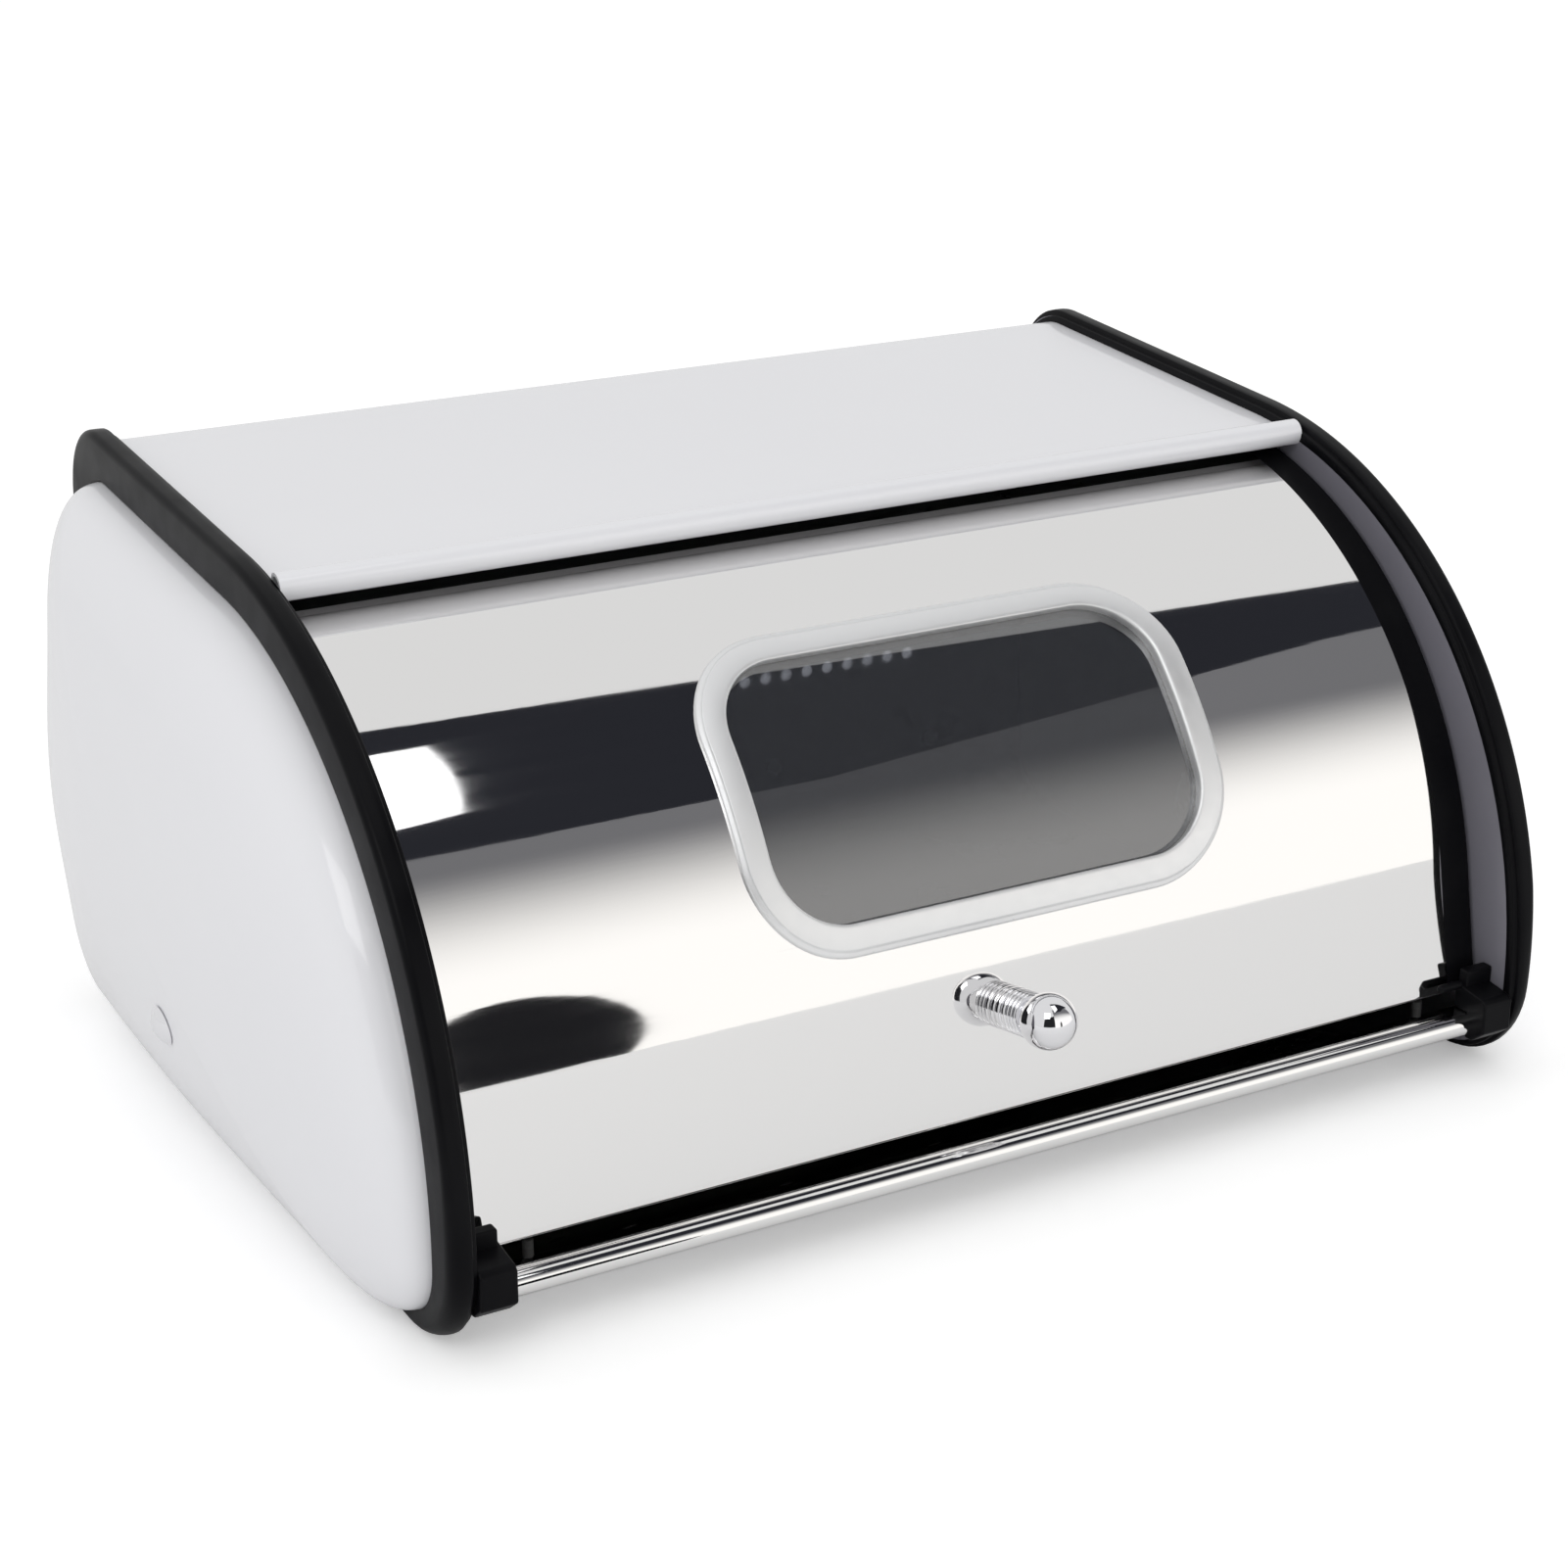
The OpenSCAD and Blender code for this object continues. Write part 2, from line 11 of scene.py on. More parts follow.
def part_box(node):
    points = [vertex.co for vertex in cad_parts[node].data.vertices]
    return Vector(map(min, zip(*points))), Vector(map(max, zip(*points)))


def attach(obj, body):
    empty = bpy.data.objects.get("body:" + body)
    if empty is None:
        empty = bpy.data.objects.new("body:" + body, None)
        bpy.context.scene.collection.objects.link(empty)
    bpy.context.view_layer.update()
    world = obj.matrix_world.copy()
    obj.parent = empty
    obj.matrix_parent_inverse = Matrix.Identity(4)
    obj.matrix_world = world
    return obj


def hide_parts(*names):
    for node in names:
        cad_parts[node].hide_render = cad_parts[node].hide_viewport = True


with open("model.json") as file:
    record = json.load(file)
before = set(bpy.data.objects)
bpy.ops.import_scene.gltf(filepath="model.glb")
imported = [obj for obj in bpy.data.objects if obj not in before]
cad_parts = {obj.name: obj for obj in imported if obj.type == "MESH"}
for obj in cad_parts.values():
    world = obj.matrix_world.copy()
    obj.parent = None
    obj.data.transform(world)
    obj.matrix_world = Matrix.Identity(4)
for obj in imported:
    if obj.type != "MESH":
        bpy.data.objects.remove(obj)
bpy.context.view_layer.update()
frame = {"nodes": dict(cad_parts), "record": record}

# ---------------------------------------------------------------- sizes from the frame

MM = 0.001
door_joint = next(j for j in frame["record"]["behaviour"]["joints"] if j["name"] == "door_hinge")
PIVOT = Vector(door_joint["pos_m"])

trim_low, trim_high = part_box("edge_trim_right")
sill_low, sill_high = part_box("sill_strip")
door_panel_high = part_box("door_panel")[1]

HALF_W = trim_low.x
TRIM_X = trim_high.x
PLATE_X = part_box("side_plate_right")[0].x
BACK_Y = trim_high.y
DOME_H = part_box("end_cover_right")[1].x - TRIM_X
DOOR_HALF_W = door_panel_high.x
DOOR_R, DOOR_T = 135 * MM, 1 * MM
DOOR_TOP = degrees(asin((door_panel_high.z - PIVOT.z) / DOOR_R))

# The door is straight below its flat angle and curved above it
DOOR_FLAT = 11.0
DOOR_FLAT_L = 38 * MM
DOOR_HEM = 4 * MM
DOOR_CURVE_L = DOOR_R * radians(DOOR_TOP - DOOR_FLAT)
# Where the black band at the door's right end starts: painted shade that stands in for the dark gap between
# the door and the side plate
DOOR_PAINTED_SHADE_X = DOOR_HALF_W - 10.5 * MM

# Side outline of the body, with the same construction as the CAD's
FRONT_R = 149 * MM
FRONT_CENTRE = Vector((trim_low.y + FRONT_R, 30.5 * MM))
TOP_SLOPE = 4.0
FOOT_R, REAR_TOP_R = 28 * MM, 24 * MM
COVER_CORNER_R, COVER_TOP_R = 20 * MM, 20 * MM
# Width of the black band that each trim shows round its end cover, and its height below the cover
TRIM_BAND, TRIM_BASE_BAND = 13 * MM, 5 * MM
SHEET_INSET, SHEET_T = 4 * MM, 1 * MM
# The end cover's outline turns into an ellipse about this middle, with these half depth and half height
COVER_MIDDLE = Vector((FRONT_CENTRE.x + 10 * MM, 88 * MM))
COVER_ELLIPSE = Vector((118 * MM, 74 * MM))

# The cover rivet's place on the side, and the end cover's height above the trim and slopes there
RIVET_PLACE = Vector((0, FRONT_CENTRE.x - 18.8 * MM, 50.2 * MM))
RIVET_RISE = 28.26 * MM
RIVET_SLOPE_BACK, RIVET_SLOPE_UP = -1.7, 8.9

# Window, in the plane that faces its middle, and its cut-out's margin
WINDOW_X, WINDOW_ANGLE = 5 * MM, 37.6
WINDOW_W, WINDOW_H, WINDOW_R = 140 * MM, 76.5 * MM, 21 * MM
WINDOW_STEP = 2.5 * MM

# Knob, with the groove radius of its stem
KNOB_X, KNOB_DROP, KNOB_REACH, BALL_R = 3 * MM, 9.6 * MM, 17.2 * MM, 8 * MM
STEM_R, STEM_CORE_R = 6.5 * MM, 4.7 * MM

# Sill brackets: the top of the block, and how far its back is in front of the pivot
BRACKET_TOP = 28.2 * MM
BRACKET_BACK = 141.4 * MM


# ---------------------------------------------------------------- mesh helpers

def make_object(name, verts, faces, body, slot, material, sharp=30, bevel=0.0):
    """A smooth-shaded mesh that rides on a CAD body, with edges sharper than an angle kept crisp."""
    mesh = bpy.data.meshes.new(name)
    mesh.from_pydata([tuple(v) for v in verts], [], faces)
    work = bmesh.new()
    work.from_mesh(mesh)
    bmesh.ops.remove_doubles(work, verts=work.verts, dist=1e-7)
    bmesh.ops.recalc_face_normals(work, faces=work.faces)
    work.to_mesh(mesh)
    work.free()
    mesh.polygons.foreach_set("use_smooth", [True] * len(mesh.polygons))
    mesh.set_sharp_from_angle(angle=radians(sharp))
    obj = bpy.data.objects.new(name, mesh)
    bpy.context.collection.objects.link(obj)
    mesh.materials.append(material)
    if bevel:
        add_bevel(obj, bevel)
    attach(obj, body)
    return obj


def add_bevel(obj, width, segments=3, angle=30):
    bevel = obj.modifiers.new("edge_rounding", "BEVEL")
    bevel.width = width
    bevel.segments = segments
    bevel.limit_method = "ANGLE"
    bevel.angle_limit = radians(angle)
    bevel.harden_normals = True


def grid_faces(rows, columns, closed_rows=False, closed_columns=False):
    """Quads between consecutive rows of points that are stored row by row."""
    faces = []
    for r in range(rows if closed_rows else rows - 1):
        for c in range(columns if closed_columns else columns - 1):
            r2, c2 = (r + 1) % rows, (c + 1) % columns
            faces.append((r * columns + c, r * columns + c2, r2 * columns + c2, r2 * columns + c))
    return faces


def extrude_along_x(profile, x0, x1):
    """A closed (y, z) profile drawn out from x0 to x1, with both ends capped."""
    verts = [Vector((x, p[0], p[1])) for x in (x0, x1) for p in profile]
    n = len(profile)
    faces = grid_faces(2, n, closed_columns=True)
    faces.append(tuple(range(n)))
    faces.append(tuple(n + i for i in reversed(range(n))))
    return verts, faces


def arc(centre, radius, a0, a1, count):
    """Points on an arc, angles in degrees, ends included."""
    angles = [radians(a0 + (a1 - a0) * i / count) for i in range(count + 1)]
    return [Vector((centre[0] + radius * cos(a), centre[1] + radius * sin(a))) for a in angles]


def lathe(profile, segments=96):
    """A closed surface of revolution about Z from (radius, height) points that start and end on the axis."""
    verts = []
    for r, h in profile:
        for i in range(segments):
            a = 2 * pi * i / segments
            verts.append(Vector((r * cos(a), r * sin(a), h)))
    return verts, grid_faces(len(profile), segments, closed_columns=True)


def joined(*shapes):
    """Several (points, faces) shapes as one."""
    verts, faces = [], []
    for more_verts, more_faces in shapes:
        faces += [tuple(i + len(verts) for i in f) for f in more_faces]
        verts += more_verts
    return verts, faces


def quarter(count=5):
    """Angles of a quarter turn, in radians."""
    return [pi / 2 * i / count for i in range(count + 1)]


def mirrored(verts, side):
    return [Vector((side * v[0], v[1], v[2])) for v in verts]


def door_frame(angle, x=0.0):
    """Matrix that puts a shape on the door at an angle above the pivot, its Z pointing out."""
    turn = Matrix.Rotation(radians(90 - angle), 4, "X")
    return Matrix.Translation((x, PIVOT.y, PIVOT.z)) @ turn


def on_door(run, x, out=0.0):
    """A point at a run up the door from where its curve starts, negative on the straight part below."""
    angle = radians(DOOR_FLAT) + max(run, 0) / DOOR_R
    slide = min(run, 0)
    r = DOOR_R + out
    return Vector((x, PIVOT.y - r * cos(angle) + slide * sin(angle),
                   PIVOT.z + r * sin(angle) + slide * cos(angle)))


def door_runs(low, high, step=2.2 * MM):
    """Runs from low to high, close together on the curve, with one at the start of the curve."""
    runs = [low] if low < 0 else []
    start = max(low, 0)
    count = ceil((high - start) / step)
    return runs + [start + (high - start) * i / count for i in range(count + 1)]


def window_run(v):
    """The run of a point at height v above the window's middle."""
    return DOOR_R * (radians(WINDOW_ANGLE - DOOR_FLAT) + asin(v / DOOR_R))


def side_outline(d, corner_r=None, top_r=None):
    """The side outline set in by d, from the trim's crest at 0 to the end cover's outline at TRIM_BAND.

    The number of points doesn't depend on d.
    """
    share = d / TRIM_BAND
    corner_r = corner_r if corner_r is not None else FOOT_R + (COVER_CORNER_R - FOOT_R) * share
    top_r = top_r if top_r is not None else REAR_TOP_R + (COVER_TOP_R - REAR_TOP_R) * share
    corner_z = TRIM_BASE_BAND * share + corner_r
    r = FRONT_R - d
    slope = radians(TOP_SLOPE)
    rise = asin((FRONT_CENTRE.y - corner_z) / (r - corner_r))
    foot = Vector((FRONT_CENTRE.x - (r - corner_r) * cos(rise), corner_z))
    top_y = BACK_Y - d - top_r
    top_z = FRONT_CENTRE.y + (r - top_r + (top_y - FRONT_CENTRE.x) * sin(slope)) / cos(slope)
    arcs = [
        arc((BACK_Y - d - corner_r, corner_z), corner_r, -90, 0, 14),
        arc((top_y, top_z), top_r, 0, 90 + TOP_SLOPE, 20),
        arc(FRONT_CENTRE, r, 90 + TOP_SLOPE, 180 + degrees(rise), 110),
        arc(foot, corner_r, 180 + degrees(rise), 270, 14)]
    steps = [22, 14, 1, 30]
    points = []
    for i, stretch in enumerate(arcs):
        points += stretch
        a, b = stretch[-1], arcs[(i + 1) % 4][0]
        points += [a.lerp(b, k / steps[i]) for k in range(1, steps[i])]
    return points


# ---------------------------------------------------------------- materials

def new_material(name, base, roughness, metallic=0.0, **sockets):
    material = bpy.data.materials.new(name)
    material.use_nodes = True
    shader = material.node_tree.nodes["Principled BSDF"]
    shader.inputs["Base Color"].default_value = (*base, 1.0)
    shader.inputs["Roughness"].default_value = roughness
    shader.inputs["Metallic"].default_value = metallic
    for socket, value in sockets.items():
        shader.inputs[socket.replace("_", " ")].default_value = value
    material.diffuse_color = (*base, 1.0)
    return material


def noise(material, scale, detail, stretch=(1, 1, 1)):
    """An object-space noise texture, stretched along the axes."""
    tree = material.node_tree
    place = tree.nodes.new("ShaderNodeTexCoord")
    mapping = tree.nodes.new("ShaderNodeMapping")
    mapping.inputs["Scale"].default_value = stretch
    texture = tree.nodes.new("ShaderNodeTexNoise")
    texture.inputs["Scale"].default_value = scale
    texture.inputs["Detail"].default_value = detail
    tree.links.new(place.outputs["Object"], mapping.inputs["Vector"])
    tree.links.new(mapping.outputs["Vector"], texture.inputs["Vector"])
    return texture.outputs["Fac"]


def spread(material, value, low, high):
    """Maps the middle of a noise texture's values to a range."""
    node = material.node_tree.nodes.new("ShaderNodeMapRange")
    node.inputs["From Min"].default_value = 0.3
    node.inputs["From Max"].default_value = 0.7
    node.inputs["To Min"].default_value = low
    node.inputs["To Max"].default_value = high
    material.node_tree.links.new(value, node.inputs["Value"])
    return node.outputs["Result"]


def vary_roughness(material, value, low, high):
    shader = material.node_tree.nodes["Principled BSDF"]
    material.node_tree.links.new(spread(material, value, low, high), shader.inputs["Roughness"])


def vary_colour(material, value, first, second):
    tree = material.node_tree
    mix = tree.nodes.new("ShaderNodeMix")
    mix.data_type = "RGBA"
    mix.inputs["A"].default_value = (*first, 1.0)
    mix.inputs["B"].default_value = (*second, 1.0)
    tree.links.new(spread(material, value, 0, 1), mix.inputs["Factor"])
    tree.links.new(mix.outputs["Result"], tree.nodes["Principled BSDF"].inputs["Base Color"])


def add_bump(material, value, distance):
    """Adds a bump on top of any bump that the material has already."""
    tree = material.node_tree
    shader = tree.nodes["Principled BSDF"]
    bump = tree.nodes.new("ShaderNodeBump")
    bump.inputs["Distance"].default_value = distance
    bump.inputs["Strength"].default_value = 1.0
    tree.links.new(value, bump.inputs["Height"])
    earlier = shader.inputs["Normal"].links
    if earlier:
        tree.links.new(earlier[0].from_socket, bump.inputs["Normal"])
    tree.links.new(bump.outputs["Normal"], shader.inputs["Normal"])


def white_paint():
    """Baked enamel: glossy, with a faint orange peel and slight unevenness in its gloss."""
    m = new_material("white_paint", (0.83, 0.832, 0.86), 0.35, Coat_Weight=0.7, Coat_Roughness=0.06)
    vary_colour(m, noise(m, 9, 3), (0.825, 0.827, 0.856), (0.838, 0.84, 0.866))
    vary_roughness(m, noise(m, 12, 2), 0.32, 0.38)
    add_bump(m, noise(m, 420, 1), 0.0000025)
    return m


def inner_enamel():
    """Dark grey enamel on the faces of the sheets that face the bread."""
    m = new_material("inner_enamel", (0.03, 0.03, 0.034), 0.3, Coat_Weight=0.3, Coat_Roughness=0.1)
    vary_colour(m, noise(m, 9, 3), (0.027, 0.027, 0.031), (0.034, 0.034, 0.038))
    vary_roughness(m, noise(m, 45, 3), 0.26, 0.36)
    return m


def black_trim():
    """Soft-sheen moulded plastic with a very fine grain."""
    m = new_material("black_trim", (0.004, 0.004, 0.005), 0.34, Specular_IOR_Level=0.07)
    vary_colour(m, noise(m, 30, 3), (0.003, 0.003, 0.004), (0.006, 0.006, 0.007))
    vary_roughness(m, noise(m, 60, 3), 0.30, 0.40)
    add_bump(m, noise(m, 2600, 2), 0.00001)
    return m


def grey_plate():
    """Glossy dark grey enamel of the inner side plates."""
    m = new_material("grey_gloss_plate", (0.19, 0.185, 0.215), 0.32, Coat_Weight=0.25, Coat_Roughness=0.2)
    vary_colour(m, noise(m, 14, 3), (0.18, 0.175, 0.205), (0.20, 0.195, 0.225))
    vary_roughness(m, noise(m, 45, 3), 0.28, 0.36)
    add_bump(m, noise(m, 700, 1), 0.00001)
    return m


def polished_steel():
    """Mirror polished stainless sheet, with faint polishing lines along the door's width."""
    m = new_material("polished_steel", (0.86, 0.855, 0.85), 0.035, metallic=1.0)
    vary_roughness(m, noise(m, 60, 4, stretch=(0.25, 6, 6)), 0.025, 0.045)
    add_bump(m, noise(m, 6, 1), 0.00008)
    add_bump(m, noise(m, 1400, 2, stretch=(0.05, 1, 1)), 0.0000015)
    return m


def satin_aluminium():
    """Bead-blasted and anodised, with a fine even grain."""
    m = new_material("satin_aluminium", (0.90, 0.905, 0.91), 0.5, metallic=1.0)
    vary_roughness(m, noise(m, 300, 3), 0.46, 0.54)
    add_bump(m, noise(m, 3800, 2), 0.000008)
    return m


def smoked_pane():
    m = new_material("smoked_pane", (0.24, 0.25, 0.28), 0.02, Transmission_Weight=1.0, IOR=2.5)
    vary_roughness(m, noise(m, 50, 2), 0.015, 0.03)
    return m


def chrome_plate():
    m = new_material("chrome_plate", (0.86, 0.86, 0.88), 0.035, metallic=1.0)
    vary_roughness(m, noise(m, 200, 3), 0.025, 0.05)
    return m


def bright_steel():
    """Zinc plated steel of the arms and fixings, with a faint spangle."""
    m = new_material("bright_steel", (0.60, 0.61, 0.63), 0.30, metallic=1.0)
    vary_colour(m, noise(m, 120, 3), (0.55, 0.56, 0.59), (0.66, 0.67, 0.68))
    vary_roughness(m, noise(m, 200, 4), 0.24, 0.38)
    add_bump(m, noise(m, 1500, 2), 0.00001)
    return m


def white_nylon():
    m = new_material("white_nylon", (0.74, 0.74, 0.70), 0.45, Subsurface_Weight=0.1)
    vary_roughness(m, noise(m, 300, 2), 0.4, 0.5)
    add_bump(m, noise(m, 2000, 2), 0.00001)
    return m


def black_rubber():
    m = new_material("black_rubber", (0.018, 0.018, 0.018), 0.75)
    vary_roughness(m, noise(m, 400, 2), 0.65, 0.85)
    add_bump(m, noise(m, 2400, 3), 0.00003)
    return m


MATERIALS = {
    "white_paint": white_paint(), "black_trim": black_trim(), "grey_gloss_plate": grey_plate(),
    "polished_steel": polished_steel(), "satin_aluminium": satin_aluminium(),
    "smoked_pane": smoked_pane(), "chrome_plate": chrome_plate(), "bright_steel": bright_steel(),
    "white_nylon": white_nylon(), "black_rubber": black_rubber()}
INNER_ENAMEL = inner_enamel()


def line_inside(obj):
    """Gives the faces of a body sheet that look into the bin the dark inner enamel.

    The rolled bead at the front stays white.
    """
    obj.data.materials.append(INNER_ENAMEL)
    middle = Vector((FRONT_CENTRE.x + 20 * MM, 80 * MM))
    bead_y, base_z = PIVOT.y - 31 * MM, 30 * MM
    for face in obj.data.polygons:
        inward = Vector((middle[0] - face.center.y, middle[1] - face.center.z))
        turned_in = face.normal.y * inward[0] + face.normal.z * inward[1] > 0.5 * inward.length
        if turned_in and (face.center.y > bead_y or face.center.z < base_z):
            face.material_index = 1


def piece(name, verts, faces, body, slot, replaces=None, **looks):
    """A piece that stands for the CAD node of its name, or for the nodes given."""
    obj = make_object(name, verts, faces, body, slot, MATERIALS[slot], **looks)
    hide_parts(*(replaces or [name.removesuffix("_skin")]))
    return obj


# ---------------------------------------------------------------- side assemblies

# Cross-section of an edge trim, in mm: distance out from the side plate's outer face, and depth below
# the crest. It starts with a lip that wraps the plate's edge. The outer edge is rounder at the feet.
TRIM_INSIDE = ((0, 13), (0, 5), (-1.4, 4.8), (-1.6, 4.5), (-1.6, 2.2), (-1.5, 1.85), (-1.3, 1.7),
               (-0.2, 1.7), (-0.05, 1.6), (0, 1.45), (0, 0.6), (0.15, 0.25), (0.5, 0.05))
TRIM_EDGE = ((2, 0), (4.2, 0), (4.9, 0.12), (5.5, 0.45), (5.95, 0.95), (6.2, 1.6), (6.3, 2.4), (6.3, 6.5))
FOOT_EDGE = ((1.3, 0), (2.6, 0.2), (3.8, 0.8), (4.84, 1.7), (5.63, 2.9), (6.13, 4.3), (6.3, 5.8), (6.3, 8))
TRIM_OUTSIDE = ((6.3, 12), (6.15, 12.7), (5.6, 13), (3, 13))
# The foot's edge holds up to the first height and has turned into the ordinary edge at the second
FOOT_HEIGHTS = 14 * MM, 60 * MM


def build_edge_trim(side, name):
    """The trim's cross-section swept round the side outline."""
    low, high = FOOT_HEIGHTS
    verts = []
    section, foot = (TRIM_INSIDE + edge + TRIM_OUTSIDE for edge in (TRIM_EDGE, FOOT_EDGE))
    for (x, d), (foot_x, foot_d) in zip(section, foot):
        for p, q in zip(side_outline(d * MM), side_outline(foot_d * MM)):
            share = min(1, max(0, (high - p[1]) / (high - low)))
            y, z = p.lerp(q, share)
            verts.append(Vector((HALF_W + (x + (foot_x - x) * share) * MM, y, z)))
    faces = grid_faces(len(section), len(verts) // len(section), closed_rows=True, closed_columns=True)
    piece(name + "_skin", mirrored(verts, side), faces, "root", "black_trim", sharp=50)


def dome_rise(s, height):
    """Height of the end cover's dome at a share s of the way from its middle to its rim."""
    return height * (1 - s ** 2.6) ** 0.42


def build_end_cover(side, name):
    """A pressed dome: the trim's outline at its rim turns into an ellipse towards its middle."""
    rim = side_outline(TRIM_BAND)
    sheet = 1.2 * MM
    rings = 64
    start = TRIM_X - sheet
    verts = [Vector((start - 3 * MM, p[0], p[1])) for p in rim]
    for k in range(rings):
        s = cos(pi / 2 * k / rings)
        w = s * s
        for p in rim:
            v = p - COVER_MIDDLE
            e = v / sqrt((v[0] / COVER_ELLIPSE[0]) ** 2 + (v[1] / COVER_ELLIPSE[1]) ** 2)
            q = COVER_MIDDLE + s * (w * v + (1 - w) * e)
            verts.append(Vector((start + dome_rise(s, DOME_H + sheet), q[0], q[1])))
    faces = grid_faces(rings + 1, len(rim), closed_columns=True)
    last = len(verts)
    verts.append(Vector((start + DOME_H + sheet, COVER_MIDDLE[0], COVER_MIDDLE[1])))
    first = rings * len(rim)
    faces += [(first + i, first + (i + 1) % len(rim), last) for i in range(len(rim))]
    faces.append(tuple(range(len(rim))))
    piece(name + "_skin", mirrored(verts, side), faces, "root", "white_paint", sharp=50)


for side, word in ((-1, "left"), (1, "right")):
    build_edge_trim(side, "edge_trim_" + word)
    build_end_cover(side, "end_cover_" + word)


# ---------------------------------------------------------------- door sheet and window

def window_half_width(v, grow):
    """Half width of the grown window shape at height v above its middle."""
    half_h, half_w, r = WINDOW_H / 2 + grow, WINDOW_W / 2 + grow, WINDOW_R + grow
    up = max(0.0, abs(v) - (half_h - r))
    return half_w - r + sqrt(max(0.0, r * r - up * up))


def panel_rows(half_h):
    """(run, out, height in the window's plane or None) of each row of the sheet, from the hem upwards."""
    bend = 1.3 * MM
    hem = [(-DOOR_FLAT_L, -DOOR_HEM, None)]
    hem += [(-DOOR_FLAT_L + bend * (1 - sin(a)), -bend * (1 - cos(a)), None)
            for a in (pi / 2 * (1 - i / 6) for i in range(7))]
    low, high = window_run(-half_h), window_run(half_h)
    below = [(r, 0, None) for r in door_runs(-DOOR_FLAT_L + 2 * bend, low)[:-1]]
    heights = [-half_h * cos(pi * i / 90) for i in range(91)]
    beside = [(window_run(v), 0, v) for v in heights]
    above = [(r, 0, None) for r in door_runs(high, DOOR_CURVE_L)[1:]]
    return hem + below + beside + above


def build_door_panel():
    """The polished sheet as rows along its width, each row split round the window's cut-out.

    Its right end has a black band of painted shade, standing in for the dark gap beside the side plate.
    """
    half_h = WINDOW_H / 2 + WINDOW_STEP
    rows = panel_rows(half_h)
    sides, middle = 8, 12
    columns = 2 * sides + middle + 1
    verts, faces = [], []
    for run, out, v in rows:
        half = window_half_width(v, WINDOW_STEP) if v is not None else WINDOW_W / 2 - WINDOW_R
        left, right = WINDOW_X - half, WINDOW_X + half
        xs = [-DOOR_HALF_W + (left + DOOR_HALF_W) * i / sides for i in range(sides)]
        xs += [left + (right - left) * i / middle for i in range(middle)]
        xs += [right + (DOOR_PAINTED_SHADE_X - right) * i / (sides - 1) for i in range(sides)] + [DOOR_HALF_W]
        verts += [on_door(run, x, out) for x in xs]
    for r in range(len(rows) - 1):
        in_window = rows[r][2] is not None and rows[r + 1][2] is not None
        for c in range(columns - 1):
            if in_window and sides <= c < sides + middle:
                continue
            i = r * columns + c
            faces.append((i, i + 1, i + columns + 1, i + columns))
    panel = piece("door_panel_skin", verts, faces, "door", "polished_steel", sharp=60)
    # The faces at the right end take the black trim material: painted shade for the dark gap there, on this
    # end only
    panel.data.materials.append(MATERIALS["black_trim"])
    for face in panel.data.polygons:
        face.material_index = 1 if face.center.x > DOOR_PAINTED_SHADE_X else 0
    face = panel.data.polygons[len(panel.data.polygons) // 2]
    faces_out = face.normal.dot(Vector((0, face.center.y - PIVOT.y, face.center.z - PIVOT.z))) > 0
    shell = panel.modifiers.new("sheet", "SOLIDIFY")
    shell.thickness = DOOR_T
    shell.offset = -1 if faces_out else 1
    add_bevel(panel, 0.25 * MM, 2, 60)


def window_path(grow):
    """The window's outline grown by a margin: points in its plane, anticlockwise."""
    corner_steps, side_steps = 22, 18
    half_w, half_h, r = WINDOW_W / 2 + grow, WINDOW_H / 2 + grow, WINDOW_R + grow
    corners = [(half_w - r, half_h - r, 0), (r - half_w, half_h - r, 90),
               (r - half_w, r - half_h, 180), (half_w - r, r - half_h, 270)]
    points = []
    for i, (x, y, a) in enumerate(corners):
        stretch = arc((x, y), r, a, a + 90, corner_steps)
        points += stretch
        nx, ny, na = corners[(i + 1) % 4]
        following = arc((nx, ny), r, na, na + 90, 1)[0]
        points += [stretch[-1].lerp(following, k / side_steps) for k in range(1, side_steps)]
    return points


def onto_door(point, out):
    """A point of the window's plane carried straight onto the door's curve, raised by out."""
    radius = DOOR_R + out
    angle = radians(WINDOW_ANGLE) + asin(point[1] / radius)
    return Vector((WINDOW_X + point[0], PIVOT.y - radius * cos(angle), PIVOT.z + radius * sin(angle)))


def build_window_ring(name, section, slot, sharp=40):
    """A ring round the window from a closed section of (margin, height above the door) points."""
    rings = [[onto_door(p, h) for p in window_path(grow)] for grow, h in section]
    verts = [p for ring in rings for p in ring]
    faces = grid_faces(len(rings), len(rings[0]), closed_rows=True, closed_columns=True)
    piece(name + "_skin", verts, faces, "door", slot, sharp=sharp)


def in_mm(pairs):
    return [(a * MM, b * MM) for a, b in pairs]


def build_window_pane():
    outer_h, inner_h = -DOOR_T, -DOOR_T - 1.5 * MM
    grow = 5 * MM
    half_h = WINDOW_H / 2 + grow
    rows, columns = 60, 25
    verts = []
    for h in (outer_h, inner_h):
        for i in range(rows + 1):
            v = -half_h * cos(pi * i / rows)
            half = window_half_width(v, grow)
            for c in range(columns):
                verts.append(onto_door((half * (2 * c / (columns - 1) - 1), v), h))
    top = grid_faces(rows + 1, columns)
    size = (rows + 1) * columns
    faces = top + [tuple(size + i for i in reversed(f)) for f in top]
    rim = [r * columns for r in range(rows + 1)] + [rows * columns + c for c in range(1, columns)]
    rim += [r * columns + columns - 1 for r in range(rows - 1, -1, -1)] + list(range(columns - 2, 0, -1))
    for a, b in zip(rim, rim[1:] + rim[:1]):
        faces.append((a, b, size + b, size + a))
    piece("window_pane_skin", verts, faces, "door", "smoked_pane", sharp=40)


